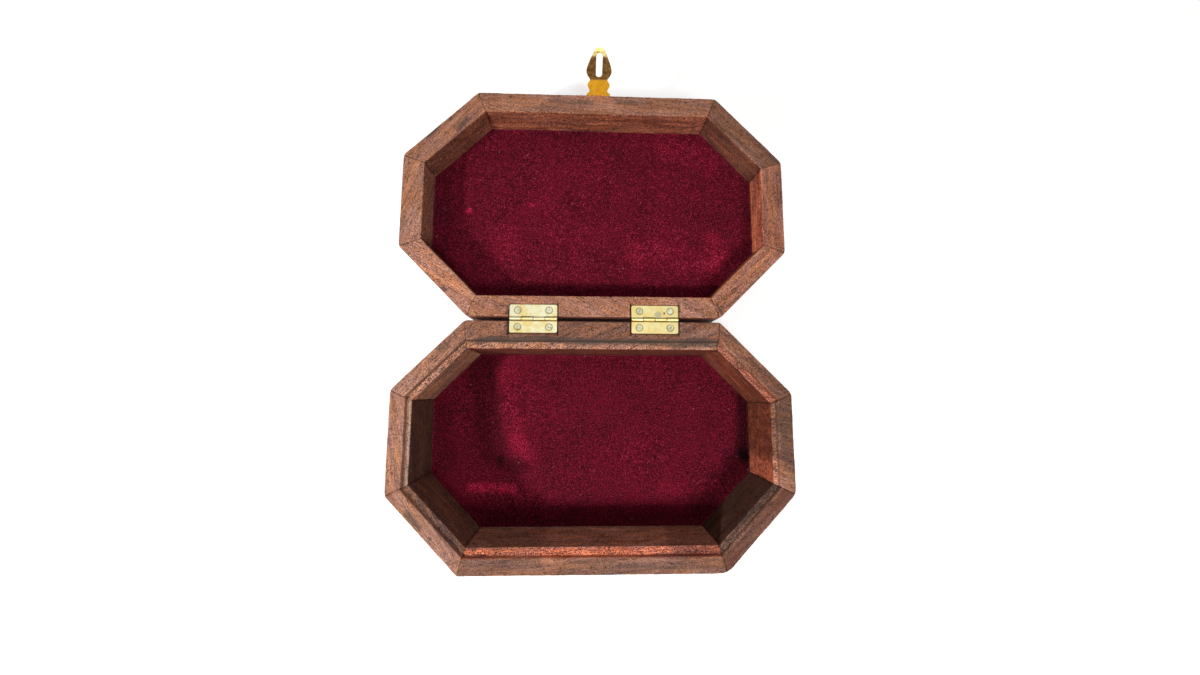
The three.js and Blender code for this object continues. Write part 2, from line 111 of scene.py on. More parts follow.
class Finish:
    """A material under construction around one Principled shader."""

    def __init__(self, name):
        self.material = bpy.data.materials.new(name)
        self.material.use_nodes = True
        self.tree = self.material.node_tree
        self.shader = self.tree.nodes["Principled BSDF"]

    def put(self, socket, value):
        """Links an output to a socket, or sets the socket to a value."""
        if isinstance(value, Socket):
            self.tree.links.new(value.link, socket)
        else:
            socket.default_value = value

    def node(self, kind, settings=None, inputs=None, output=0):
        """Adds a node: its settings first, then the values or links of its sockets."""
        node = self.tree.nodes.new(kind)
        for key, value in (settings or {}).items():
            setattr(node, key, value)
        for key, value in (inputs or {}).items():
            self.put(node.inputs[key], value)
        return Socket(self, node.outputs[output])

    def set(self, **sockets):
        """Sets the shader's own sockets, with _ for each space in their names."""
        for key, value in sockets.items():
            self.put(self.shader.inputs[key.replace("_", " ")], value)

    def attribute(self, name, output="Fac"):
        return self.node("ShaderNodeAttribute", {"attribute_name": name}, None, output)

    def stretched(self, vector, scale):
        """The vector with each of its parts times its own scale."""
        return self.node("ShaderNodeVectorMath", {"operation": "MULTIPLY"}, {0: vector, 1: scale})

    def noise(self, vector, scale, detail=2.0, roughness=0.5):
        """Cloud noise from 0 to 1 over a vector, with a scale for each of its directions."""
        place = self.stretched(vector, scale)
        values = {"Vector": place, "Scale": 1.0, "Detail": detail, "Roughness": roughness}
        return self.node("ShaderNodeTexNoise", {}, values, "Fac")

    def step(self, value, low, high):
        """0 below low and 1 above high, with a smooth rise between; high may be the lower one."""
        settings = {"interpolation_type": "SMOOTHSTEP", "clamp": True}
        if low > high:
            return 1 - self.step(value, high, low)
        return self.node("ShaderNodeMapRange", settings, {"Value": value, 1: low, 2: high})

    def mix(self, share, first, second, blend="MIX"):
        """Two colours mixed: the first where share is 0, the second where it is 1."""
        colours = [v if isinstance(v, Socket) else (*v, 1) for v in (first, second)]
        settings = {"data_type": "RGBA", "blend_type": blend, "clamp_factor": True}
        return self.node("ShaderNodeMix", settings, {0: share, 6: colours[0], 7: colours[1]}, 2)

    def times(self, colour, value):
        """A colour made lighter or darker by a number."""
        return self.node("ShaderNodeVectorMath", {"operation": "SCALE"}, {0: colour, "Scale": value})

    def bump(self, height, distance):
        """Low relief: a height, and the distance in metres that a height of 1 stands for."""
        values = {"Height": height, "Distance": distance, "Strength": 1.0}
        self.set(Normal=self.node("ShaderNodeBump", {}, values, "Normal"))


# The table under the box: plain white card, lit so brightly that almost no shadow shows on it. It is not
# part of the box.
card = Finish("white_card")
card.set(Base_Color=(0.6, 0.6, 0.6, 1), Roughness=0.9, Emission_Color=(1, 1, 1, 1), Emission_Strength=0.62)
table = bpy.data.meshes.new("table")
table_half, table_z = 6.0, -0.0002
table_corners = np.array([[-1, -1], [1, -1], [1, 1], [-1, 1]]) * table_half
table.from_pydata([(x, y, table_z) for x, y in table_corners], [], [(0, 1, 2, 3)])
table.materials.append(card.material)
table_top = bpy.data.objects.new("table_top", table)
scene.collection.objects.link(table_top)


# The walls of the base: eight staves of reddish-brown hardwood, mitred and glued in a ring. Inside its
# top edge each one has a narrow ledge cut by a rebate plane, and their arrises are rubbed round by hand.
rng = np.random.default_rng(7)


def outline_of(node):
    """The corners of a flat node in plan, in mm, anticlockwise: its lowest points sorted by their angle round
    the middle."""
    mesh = nodes[node].data
    points = np.empty(len(mesh.vertices) * 3)
    mesh.vertices.foreach_get("co", points)
    points = points.reshape(-1, 3) / MM
    lowest = points[points[:, 2] < points[:, 2].min() + 0.01][:, :2]
    corners = np.unique(lowest.round(3), axis=0)
    middle = corners.mean(axis=0)
    return corners[np.argsort(np.arctan2(*(corners - middle).T[::-1]))]


def plan_of(node):
    """The four corners of a stave in plan, in mm: outer start, outer end, inner end, inner start. The outer
    side is the longest."""
    corners = outline_of(node)
    sides = np.linalg.norm(np.roll(corners, -1, axis=0) - corners, axis=1)
    return np.roll(corners, -int(np.argmax(sides)), axis=0)


def section_of(corners, radii, spacing):
    """A closed section with rounded corners: every point is a base point plus the radius times an offset, so
    the rounding can change along the piece. Gives base points, offsets, side numbers and corner flags."""
    corners = np.array(corners, float)
    ahead = np.roll(corners, -1, axis=0) - corners
    lengths = np.linalg.norm(ahead, axis=1)
    ahead /= lengths[:, None]
    behind = -np.roll(ahead, 1, axis=0)
    bends = np.radians(np.linspace(0, 90, 5))
    later_half = np.arange(len(bends)) >= len(bends) // 2
    widest_margin = 1.05
    shortest_split = 2.5
    base, offset, side, corner = [], [], [], []
    for i, start in enumerate(corners):
        arc = ahead[i] + behind[i] - np.outer(np.cos(bends), ahead[i]) - np.outer(np.sin(bends), behind[i])
        base.append(np.repeat(start[None], len(bends), axis=0))
        offset.append(arc * radii[i])
        side.append(np.where(later_half, i, (i - 1) % len(corners)))
        corner.append(np.ones(len(bends)))
        margin = min(widest_margin, lengths[i] / 3)
        count = max(1, int(lengths[i] / spacing[i]))
        runs = np.linspace(margin, lengths[i] - margin, count + 1)
        if lengths[i] <= shortest_split:
            runs = np.array([lengths[i] / 2])
        base.append(start + runs[:, None] * ahead[i])
        offset.append(np.zeros((len(runs), 2)))
        side.append(np.full(len(runs), i))
        corner.append(np.zeros(len(runs)))
    return np.concatenate(base), np.concatenate(offset), np.concatenate(side), np.concatenate(corner)


def mesh_from(name, points, blocks, attributes):
    """A smooth mesh from arrays: points in mm, and blocks of faces, each face a row of point numbers. An
    attribute has a number, or a row of three, for each point."""
    mesh = bpy.data.meshes.new(name)
    faces = [row for block in blocks for row in block.tolist()]
    mesh.from_pydata((np.asarray(points) * MM).tolist(), [], faces)
    for key, values in attributes.items():
        kind, field = ("FLOAT_VECTOR", "vector") if np.ndim(values) == 2 else ("FLOAT", "value")
        layer = mesh.attributes.new(key, kind, "POINT")
        layer.data.foreach_set(field, np.asarray(values, float).ravel())
    mesh.polygons.foreach_set("use_smooth", np.full(len(mesh.polygons), True))
    mesh.validate()
    piece = bpy.data.objects.new(name, mesh)
    scene.collection.objects.link(piece)
    return piece


def closed_faces(rows, across):
    """The faces of rows of points that each run in a ring: quads between the rows, and a fan at each end to
    one point more. The points are numbered row by row, and the two end points come last."""
    row = np.arange(rows - 1)[:, None] * across
    here = np.arange(across)
    after = (here + 1) % across
    last_row = (rows - 1) * across
    quads = np.stack([row + here, row + across + here, row + across + after, row + after], axis=-1)
    first = np.stack([np.full(across, rows * across), here, after], axis=-1)
    last = np.stack([np.full(across, rows * across + 1), last_row + after, last_row + here], axis=-1)
    return [quads.reshape(-1, 4), first, last]


def waves(along, seed, shortest=2.5, count=7):
    """Uneven rise and fall along a length, between about -1 and 1: a sum of sines, each 2.2 times as long as
    the one before it and begun at a random place."""
    draw = np.random.default_rng(seed)
    lengths = shortest * 2.2 ** np.arange(count)
    total = sum(np.sin(2 * np.pi * (along / w + draw.random())) for w in lengths)
    return total / np.sqrt(count) / 1.4


def smudge(points, path, width):
    """1 on a line of marks and fading to 0 at about twice its width: e to the minus square of the distance to
    the line's nearest part over the width."""
    path = np.array(path, float)
    nearest = np.full(len(points), np.inf)
    for start, end in zip(path[:-1], path[1:]):
        run = end - start
        share = np.clip((points[:, :2] - start) @ run / max(run @ run, 1e-9), 0, 1)
        nearest = np.minimum(nearest, np.linalg.norm(points[:, :2] - start - share[:, None] * run, axis=1))
    return np.exp(-((nearest / width) ** 2))


def sharpened(mark, gain, cut):
    """A mark made steeper at its edge: the mark times the gain, less the cut, kept between 0 and 1."""
    return np.clip(gain * mark - cut, 0, 1)


# In mm: how far a stave runs into the glue of its mitres, the space between its stations, how far along it
# the mitre's slant fades out, and half the width of a bed's cut ends.
GLUE_LINE, STATION_STEP, MITRE_FADE, BED_CUT = 0.055, 1.1, 30.0, 0.005
# A sanded corner's bend as a share of its size, and the depth at which it has died out.
CORNER_BEND, CORNER_DEPTH = 0.207, 3
# How the arrises' rounding varies along a stave, in shares of its radius: its swing and its two limits.
RUB_SWING, RUB_LEAST, RUB_MOST = 0.45, -0.6, 0.25
# The greatest random shift of the grain, the share by which a bed is darker, and the height stains begin at.
GRAIN_SPREAD, BED_SHADE, STAINED_FROM_Z = 300, 0.85, 37


def stave(
    name, node, profile, radii, spacing, tones, varnishes, turn, rounds, stains, painted_light, pale, seams, beds,
):
    """A profile carried from mitre to mitre: its depth goes inwards from the outer face, and the ends follow
    the mitre lines. Near each end the outer face bends inwards by the square of the way left, as a sanded
    corner does. Beds are cut by lowering the points that lie in them. The grain is turned in plan by an
    angle, except on the outer face."""
    outer_start, outer_end, inner_end, inner_start = plan_of(node)
    length = np.linalg.norm(outer_end - outer_start)
    along = (outer_end - outer_start) / length
    inwards = np.array([-along[1], along[0]])
    thick = (inner_start - outer_start) @ inwards
    base, offset, side, corner = section_of(profile(thick), radii, spacing)
    stations = np.linspace(-GLUE_LINE, length + GLUE_LINE, int(length / STATION_STEP) + 1)
    edges = [bed[end] + cut for end in (0, 1) for bed in beds for cut in (-BED_CUT, BED_CUT)]
    stations = np.unique(np.concatenate([stations, edges]))
    rub_seed = sum(ord(letter) for letter in name)
    rub = 1 + np.clip(RUB_SWING * waves(stations, rub_seed), RUB_LEAST, RUB_MOST)[:, None, None]
    section = base[None] + offset[None] * rub
    deep, up = section[..., 0], section[..., 1]
    skew_start = (inner_start - outer_start) @ along / thick
    skew_end = (outer_end - inner_end) @ along / thick
    fade = min(MITRE_FADE, length / 2)
    run = stations[:, None] + deep * skew_start * np.clip(1 - stations / fade, 0, 1)[:, None]
    run = run - deep * skew_end * np.clip(1 - (length - stations) / fade, 0, 1)[:, None]
    sunk = np.zeros(run.shape)
    for low, high, reach, floor in beds:
        inside = (run > low) & (run < high) & (deep < reach)
        sunk = np.where(inside & (up > floor), 1, sunk)
        up = np.where(inside, np.minimum(up, floor), up)
    grain = np.stack([run, deep, up], axis=-1).reshape(-1, 3)
    for way, size in ((stations, rounds[0]), (length - stations, rounds[1])):
        bend = CORNER_BEND * size * np.clip(1 - way / size, 0, 1) ** 2
        deep = deep + bend[:, None] * np.clip(1 - deep / CORNER_DEPTH, 0, 1)
    plan = outer_start + run[..., None] * along + deep[..., None] * inwards
    points = np.concatenate([plan, up[..., None]], axis=-1)
    rows, across = deep.shape
    mitre = np.minimum(run - deep * skew_start, length - deep * skew_end - run)
    angle = np.radians(turn) * np.tile(side > 0, rows)
    cos, sin = np.cos(angle), np.sin(angle)
    x, y, z = grain.T
    grain = np.stack([x * cos + y * sin, y * cos - x * sin, z], axis=-1) + GRAIN_SPREAD * rng.random(3)
    caps = [points[row].mean(axis=0) for row in (0, rows - 1)]
    flat = np.concatenate([points.reshape(-1, 3), caps])

    def everywhere(values):
        """Values round one section, repeated for each station and, by the first, for the two end points."""
        return np.concatenate([np.tile(values, rows), values[:1], values[:1]])

    stain = np.zeros(len(flat))
    for path, width, strength in stains:
        stain = np.maximum(stain, strength * smudge(flat, path, width) * (flat[:, 2] > STAINED_FROM_Z))
    tone = everywhere(np.array(tones, float)[side]) * (1 - BED_SHADE * np.append(sunk.ravel(), [0, 0]))
    # Painted light: along each path the tone is raised, as if a lamp lit that part of the stave brighter.
    for path, width, strength in painted_light:
        tone = tone * (1 + strength * sharpened(smudge(flat, path, width), 3, 0.8))
    rim_side, ledge_side, inner_side = 1, 3, len(tones) - 2
    rim_figure = 1.35 if "back" in name else 1.0
    figure_sides = [side == rim_side, side == inner_side, side == ledge_side]
    return mesh_from(name, flat, closed_faces(rows, across), {
        "grain": np.concatenate([grain, grain[:1], grain[-1:]]),
        "mitre": np.concatenate([mitre.ravel(), [0, 0]]),
        "tone": tone,
        "varnish": everywhere(np.array(varnishes, float)[side]),
        "pale": pale * everywhere((side == ledge_side).astype(float)),
        "worn": everywhere(corner),
        "figure": everywhere(np.select(figure_sides, [rim_figure, 1.9, 2.4], 0.7)),
        "seam": everywhere(np.where(side == inner_side, seams[1], seams[0])),
        "stain": stain,
    })


def rim_wood(name):
    """Open-grained hardwood: bare and worn where varnish is 0, oiled red-brown where it is 1. The figure is
    bands, fibres and short dark pores, all long along the grain, over clouds, speckle and fine grit."""
    wood = Finish(name)
    grain = wood.attribute("grain", "Vector")
    sway = wood.node(
        "ShaderNodeTexNoise", {},
        {"Vector": wood.stretched(grain, (0.05, 0.09, 0.09)), "Scale": 1.0, "Detail": 2.0}, "Color",
    )
    sway = wood.stretched(sway, (0.0, 5.0, 5.0))
    grain = wood.node("ShaderNodeVectorMath", {"operation": "ADD"}, {0: grain, 1: sway})
    bands = wood.step(wood.noise(grain, (0.016, 0.5, 0.4), 3.0, 0.6), 0.3, 0.7)
    fibres = wood.step(wood.noise(grain, (0.09, 1.2, 1.2), 3.0, 0.75), 0.34, 0.66)
    pores = wood.step(wood.noise(grain, (0.42, 2.0, 2.0), 2.0), 0.57, 0.66)
    speckle = wood.step(wood.noise(grain, (1.1, 1.5, 1.5), 2.0, 0.7), 0.36, 0.64)
    grit = wood.step(wood.noise(grain, (2.2, 2.9, 2.9), 1.0), 0.36, 0.64)
    clouds = wood.step(wood.noise(grain, (0.045, 0.14, 0.14), 2.0), 0.3, 0.7)
    warmth = wood.step(wood.noise(grain, (0.05, 0.3, 0.3), 2.0), 0.35, 0.65)
    rubbed = wood.step(wood.noise(grain, (1.1, 0.16, 0.5), 2.0), 0.35, 0.65)
    varnish = wood.attribute("varnish")
    worn = wood.mix(bands, (0.218, 0.092, 0.056), (0.342, 0.157, 0.094))
    oiled = wood.mix(bands, (0.17, 0.036, 0.021), (0.42, 0.112, 0.052))
    colour = wood.mix(varnish, worn, oiled)
    colour = wood.mix(1.0, colour, wood.mix(warmth, (0.94, 1.0, 1.16), (1.06, 0.99, 0.84)), "MULTIPLY")
    colour = wood.mix(1.0, colour, wood.mix(grit, (1.04, 0.93, 0.85), (0.97, 1.05, 1.12)), "MULTIPLY")
    contrast = fibres * 0.34 + clouds * 0.24 + speckle * 0.46
    contrast = contrast + grit * 0.8 + rubbed * 0.12 - pores * 0.5 - 0.88
    light = 1 + contrast * wood.attribute("figure")
    light = wood.node("ShaderNodeMath", {"operation": "MAXIMUM"}, {0: light, 1: 0.12})
    colour = wood.times(colour, light * wood.attribute("tone"))
    edge = wood.attribute("worn") * wood.step(speckle + clouds, 1.1, 1.7) * 0.35
    colour = wood.mix(edge, colour, (0.5, 0.28, 0.17))
    colour = wood.mix(wood.attribute("pale") * (0.35 + speckle * 0.6), colour, (0.44, 0.36, 0.28))
    stain = wood.step(wood.attribute("stain") + (fibres - 0.5) * 0.45 + (speckle - 0.5) * 0.35, 0.25, 0.85)
    colour = wood.mix(stain * 0.75, colour, (0.05, 0.036, 0.03))
    joint = wood.step(wood.attribute("mitre") + (clouds - 0.5) * 0.5 + (speckle - 0.5) * 0.2, 0.3, 0.05)
    colour = wood.mix(joint * wood.attribute("seam"), colour, (0.035, 0.018, 0.012))
    wood.set(Base_Color=colour, Roughness=0.5 + speckle * 0.2 + stain * 0.1, Specular_IOR_Level=0.32)
    wood.bump(fibres * 0.35 + speckle * 0.25 + grit * 0.2 - pores * 0.7 - joint * 0.4, 0.00014)
    return wood.material


stave_wood = rim_wood("rim_wood_oiled")
RIM_Z, LEDGE_Z, STEP_LEAN = 40.0, 38.4, 0.4
# The two hinges' beds in a back rim, to either side of the box's middle, each with a deeper slit at its ends.
HINGE_SIDE = 31.3
bed_half, bed_depth, bed_floor = 12.8, 6.35, 39.14
slit_width, slit_depth, slit_floor = 0.55, bed_depth + 1.1, 38.3


def beds_along(node, sign):
    """The beds as ranges along a back stave, whose own direction runs along +X or -X by the sign: where each
    begins and ends, how deep inwards it goes, and the height of its floor."""
    start = plan_of(node)[0][0]
    ranges = []
    for centre in (-HINGE_SIDE, HINGE_SIDE):
        low = sign * (centre - start) - bed_half
        high = sign * (centre - start) + bed_half
        ranges.append((low, high, bed_depth, bed_floor))
        ranges.append((low, low + slit_width, slit_depth, slit_floor))
        ranges.append((high - slit_width, high, slit_depth, slit_floor))
    return ranges


def ledged(thick, ledge):
    """The base's profile: up the outer face, over the rim, down the leaning step, in along the ledge and down
    the inner face."""
    step = thick - ledge
    return [
        (0, 0), (0, RIM_Z), (step - STEP_LEAN, RIM_Z),
        (step + STEP_LEAN, LEDGE_Z), (thick, LEDGE_Z), (thick, 0),
    ]


# For each stave: its ledge's width, how dark or light its outer face, rim, step, ledge, inner face and
# underside are, how oiled its rim, ledge and inner face are, the grain's turn, and its corners' rounding.
base_staves = {
    "front": (4.2, (0.8, 0.72, 0.9, 0.96, 1.35, 0.7), (0.12, 1.0, 0.0), 3, (0.8, 4)),
    "front_right": (3.3, (0.8, 0.44, 0.35, 0.27, 0.25, 0.7), (0.5, 0.1, 0), -6, (4, 2.5)),
    "right": (2.5, (0.8, 0.45, 0.4, 0.62, 0.58, 0.7), (0.1, 0.3, 1), 70, (2.5, 2)),
    "back_right": (3.3, (0.8, 0.7, 0.6, 1.1, 0.6, 0.7), (0.15, 0.75, 1.0), 8, (2, 1.2)),
    "back": (3.9, (0.8, 0.76, 0.3, 1.22, 0.5, 0.7), (0.1, 0.0, 0.95), 24, (1.2, 1.5)),
    "back_left": (3.3, (0.8, 1.12, 0.6, 0.98, 1.27, 0.7), (0, 0.05, 0), 5, (1.5, 2)),
    "left": (2.5, (0.8, 1.17, 0.8, 0.96, 0.42, 0.7), (0, 0.1, 0), 12, (2, 1.5)),
    "front_left": (3.3, (0.8, 1.18, 0.7, 0.38, 0.76, 0.7), (0, 0.3, 0), -10, (1.5, 0.8)),
}
# Dark stains, and painted pools of light, each by its path in plan and its width, in mm, and its strength.
base_stains = {
    "front": [([(-11.5, -55.4), (2.6, -56.5), (21.6, -57.6), (39.3, -58.7)], 1.8, 0.55)],
    "back": [
        ([(-60, 51), (-52, 52.6), (-42, 51.6), (-30, 53), (-15, 52), (0, 51.4), (20, 51.8), (40, 50.8)],
         1.9, 1.0),
        ([(40, 50.8), (54, 51.6), (68, 50.6)], 2.4, 1.1),
    ],
    "back_left": [([(-78, 47), (-74, 49)], 2.6, 0.6)],
    "front_left": [
        ([(-90.2, -33.4), (-84.1, -39.5)], 2.6, 0.8),
        ([(-78.6, -44.2), (-78.4, -44.8)], 0.8, 1.2),
    ],
}
# Painted light: pools of lamplight painted on the front part of the right wall and on the front ledge.
base_painted_light = {
    "right": [([(91, -33), (91, -20)], 12.0, 1.3)],
    "front": [([(-20, -52), (35, -52)], 6.0, 0.35)],
}
for side_name, (ledge, tones, (rim, shelf, inside), turn, rounds) in base_staves.items():
    node = "base_wall_" + side_name
    piece = stave(
        "base_stave_" + side_name, node,
        lambda thick: ledged(thick, ledge),
        radii=(0.3, 0.8, 0.6, 0.4, 0.4, 0.2), spacing=(2.5, 0.9, 1, 0.9, 1.6, 4),
        tones=tones, varnishes=(0.6, rim, shelf, shelf, inside, 0.5), turn=turn, rounds=rounds,
        stains=base_stains.get(side_name, ()), painted_light=base_painted_light.get(side_name, ()),
        pale=0.5 if side_name == "left" else 0,
        seams=(0.4, 0.6) if side_name == "front" else (0.12, 0.6),
        beds=beds_along(node, -1) if side_name == "back" else (),
    )
    piece.data.materials.append(stave_wood)
    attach(piece, "base")
    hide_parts(node)


# The floor board of the base: one thin board of the same hardwood, glued in flush with the staves' lower
# edges, with its arrises just broken.
ARRIS_ANGLE = np.radians(30)
FLAT_ANGLE = np.radians(0.5)
SMALL_FACE_EDGES = 7
MERGE_WITHIN = 2e-6


def finished_copy(name, node, bevel):
    """A merged copy of a node's mesh: its flat parts joined, its edges bevelled by a width in mm, and its
    curves smooth, which are the small faces with a neighbour at a small angle."""
    work = bmesh.new()
    work.from_mesh(nodes[node].data)
    bmesh.ops.remove_doubles(work, verts=work.verts, dist=MERGE_WITHIN)
    bmesh.ops.dissolve_limit(work, angle_limit=FLAT_ANGLE, verts=work.verts, edges=work.edges)
    for face in work.faces:
        bends = [edge.calc_face_angle(0) for edge in face.edges]
        curved = any(4 * FLAT_ANGLE < bend < ARRIS_ANGLE for bend in bends)
        face.smooth = len(bends) < SMALL_FACE_EDGES and curved
    mesh = bpy.data.meshes.new(name)
    work.to_mesh(mesh)
    work.free()
    for layer in list(mesh.attributes):
        if layer.name.startswith("custom"):
            mesh.attributes.remove(layer)
    mesh.set_sharp_from_angle(angle=ARRIS_ANGLE)
    mesh.materials.clear()
    piece = bpy.data.objects.new(name, mesh)
    scene.collection.objects.link(piece)
    if bevel:
        edge = piece.modifiers.new("arris", "BEVEL")
        edge.width = bevel * MM
        edge.segments = 2
        edge.limit_method = "ANGLE"
        edge.angle_limit = ARRIS_ANGLE
    return piece


def board_wood(name, tint):
    """Plain-sawn board: broad bands along X with fine dark pores, under an old oil finish."""
    wood = Finish(name)
    place = wood.node("ShaderNodeTexCoord", {}, {}, "Object")
    waver = wood.noise(place, (6.0, 25.0, 25.0), 2.0)
    waver = wood.node("ShaderNodeCombineXYZ", {}, {0: waver, 1: waver, 2: waver})
    shift = wood.times(waver, 0.01)
    bent = wood.node("ShaderNodeVectorMath", {"operation": "ADD"}, {0: place, 1: shift})
    bands = wood.step(wood.noise(bent, (9.0, 210.0, 60.0), 3.0, 0.6), 0.3, 0.7)
    fibres = wood.step(wood.noise(bent, (60.0, 1300.0, 1300.0), 3.0, 0.7), 0.34, 0.66)
    pores = wood.step(wood.noise(bent, (330.0, 5200.0, 5200.0), 1.0), 0.63, 0.72)
    speckle = wood.step(wood.noise(place, (1200.0, 1600.0, 1600.0), 2.0, 0.7), 0.36, 0.64)
    clouds = wood.step(wood.noise(place, (28.0, 60.0, 60.0), 2.0), 0.3, 0.7)
    dark = tuple(share * part for share, part in zip((0.5, 0.4, 0.45), tint))
    colour = wood.mix(bands, dark, tint)
    colour = wood.times(colour, 0.3 + fibres * 0.4 + clouds * 0.3 + speckle * 0.5 - pores * 0.35)
    wood.set(Base_Color=colour, Roughness=0.4 + speckle * 0.25, Specular_IOR_Level=0.45)
    wood.bump(fibres * 0.5 + speckle * 0.3 - pores * 0.9, 0.00012)
    return wood.material


floor_board = finished_copy("base_floor", "base_floor_board", 0.3)
floor_board.data.materials.append(board_wood("board_wood_oiled", (0.33, 0.12, 0.055)))
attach(floor_board, "base")
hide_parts("base_floor_board")


# The base's lining: crimson velvet glued on thin card, its cut edges tucked against the walls. The pile is
# brushed lighter in patches and holds a little dust, and painted shadow darkens it in patches where the walls
# shade it.

# In mm: how far the pile lies under the solid's top, and how much it swells. Then the share of the sheet that
# lifts at the walls, and by how many mm.
PILE_BELOW, SWELL = 0.3, 0.1
EDGE_SHARE, EDGE_LIFT = 0.012, 0.35


def lining(name, node, patches, seed):
    """A closed sheet over an eight-sided outline: rings from the middle to the edge, whose heights rise and
    fall a little with X and Y and lift at the walls. The swell is a sum of sines of X times sines of Y. A
    patch with a positive weight lightens the nap, as brushing does, and one with a negative weight is painted
    shadow. Each runs along a path in plan, by its width in mm and its weight."""
    corners = outline_of(node)
    low, high = (np.array(corner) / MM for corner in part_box(node))
    middle = corners.mean(axis=0)
    around = 48
    shares = np.arange(around) / around
    ahead = np.roll(corners, -1, axis=0)
    edge = (corners[:, None] + (ahead - corners)[:, None] * shares[None, :, None]).reshape(-1, 2)
    count = len(edge)
    rings = np.concatenate([np.linspace(0.02, 0.94, 52), [0.955, 0.97, 0.982, 0.991, 0.997, 1]])
    draw = np.random.default_rng(seed)
    length = np.concatenate([[0], np.cumsum(np.linalg.norm(np.diff(edge, axis=0), axis=1))])
    fray = 0.25 * waves(length, seed + 1, 1.7, 5)
    swells = [(draw.uniform(4, 26), draw.uniform(4, 26), *draw.uniform(0, 6.28, 2)) for _ in range(6)]

    def height(plan):
        x, y = plan[..., 0], plan[..., 1]
        swell = sum(np.sin(x / w + p) * np.sin(y / v + q) for w, v, p, q in swells)
        return high[2] - PILE_BELOW + SWELL * swell

    lift = np.exp(-(((1 - rings[:, None]) / EDGE_SHARE) ** 2)) * (EDGE_LIFT + fray)
    plan = middle + (edge - middle)[None] * rings[:, None, None]
    upper = np.concatenate([plan, (height(plan) + lift)[..., None]], axis=-1)
    lower = np.concatenate([plan[::-1], np.full((len(rings), count, 1), low[2])], axis=-1)
    shell = np.concatenate([upper, lower]).reshape(-1, 3)
    centre_top = [*middle, height(middle)]
    points = np.concatenate([shell, [centre_top, [*middle, low[2]]]])
    rows = 2 * len(rings)
    marks = [(weight, smudge(points, path, width)) for path, width, weight in patches]
    # Painted shadow: patches with negative weights darken the pile where the walls shade it.
    darker = sum(weight * sharpened(mark, 2.4, 0.7) for weight, mark in marks if weight < 0)
    lighter = sum(weight * sharpened(mark, 1.7, 0.3) for weight, mark in marks if weight > 0)
    rim = np.concatenate([np.repeat(rings, count), np.repeat(rings[::-1], count), [0, 0]])
    return mesh_from(name, points, closed_faces(rows, count), {"nap_and_shadow": darker + lighter, "edge": rim})


def velvet(name):
    """Short crimson pile: fine tufts in light and shade with painted glints on their tips, lighter and darker
    clouds where it is brushed, a few specks of dust and a paler cut edge. Where the walls shade it, painted
    shadow darkens it through the nap attribute."""
    pile = Finish(name)
    place = pile.node("ShaderNodeTexCoord", {}, {}, "Object")
    tufts = pile.step(pile.noise(place, (1500.0, 1500.0, 1500.0), 2.0, 0.7), 0.38, 0.66)
    # Painted glints: bright specks where the fibres' tips would catch the light.
    tip_glints = pile.step(pile.noise(place, (1350.0, 1350.0, 1350.0), 2.0, 0.7), 0.54, 0.63)
    clumps = pile.step(pile.noise(place, (330.0, 330.0, 330.0), 3.0, 0.65), 0.32, 0.68)
    brushed = pile.step(pile.noise(place, (60.0, 42.0, 42.0), 3.0), 0.32, 0.68)
    dust = pile.step(pile.noise(place, (520.0, 520.0, 520.0), 1.0), 0.74, 0.8)
    pale_edge_line = pile.step(pile.attribute("edge") + (clumps - 0.5) * 0.006, 0.992, 0.998)
    # The nap attribute also lays the walls' painted shadow on the pile.
    light = (0.06 + tufts * 0.86 + clumps * 0.3 + brushed * 0.24) * (1 + pile.attribute("nap_and_shadow"))
    colour = pile.times(pile.mix(tufts, (0.113, 0.0018, 0.0118), (0.143, 0.0028, 0.0165)), light)
    colour = pile.mix(tip_glints * 0.62, colour, pile.times((0.42, 0.028, 0.072), 1 + pile.attribute("nap_and_shadow")))
    colour = pile.mix(dust * 0.4, colour, (0.5, 0.2, 0.25))
    colour = pile.mix(pale_edge_line * 0.35, colour, (0.24, 0.06, 0.06))
    pile.set(Base_Color=colour, Roughness=0.9, Specular_IOR_Level=0.11)
    pile.set(Sheen_Weight=0.06, Sheen_Roughness=0.5, Sheen_Tint=(0.9, 0.05, 0.2, 1))
    pile.bump(tufts * 0.6 + clumps, 0.0004)
    return pile.material


crimson = velvet("crimson_velvet")
# The negative weights are painted shadows, where the walls shade the pile; the positive ones are brushed nap.
base_lining = lining("base_lining", "base_velvet", [
    ([(-49, 44), (-47.5, 18), (-42, -4)], 5.0, 0.4),
    ([(-43, -2), (-36, -9)], 5.0, 0.5),
    ([(-64, 40), (-61, 12), (-56, -8)], 9.0, -0.38),
    ([(-84, 14), (-82, -16)], 6.0, -0.25),
    ([(-50, -14), (-40, -17)], 5.0, -0.4),
    ([(-68, -27.5), (-44, -28.5)], 2.6, 1.25),
    ([(70, -27), (40, -29)], 4.0, 0.3),
    ([(90, 44), (90, -8)], 7.8, -0.62),
    ([(-58, -46), (58, -46)], 5.0, -0.2),
    ([(86, -14), (62, -37)], 9.0, -0.35),
], 11)
base_lining.data.materials.append(crimson)
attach(base_lining, "base")
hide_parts("base_velvet")


# The lid's walls: eight lower staves of the same wood, mitred and glued in a ring like the base's, but
# without a ledge. In the opened lid they stand on its board.

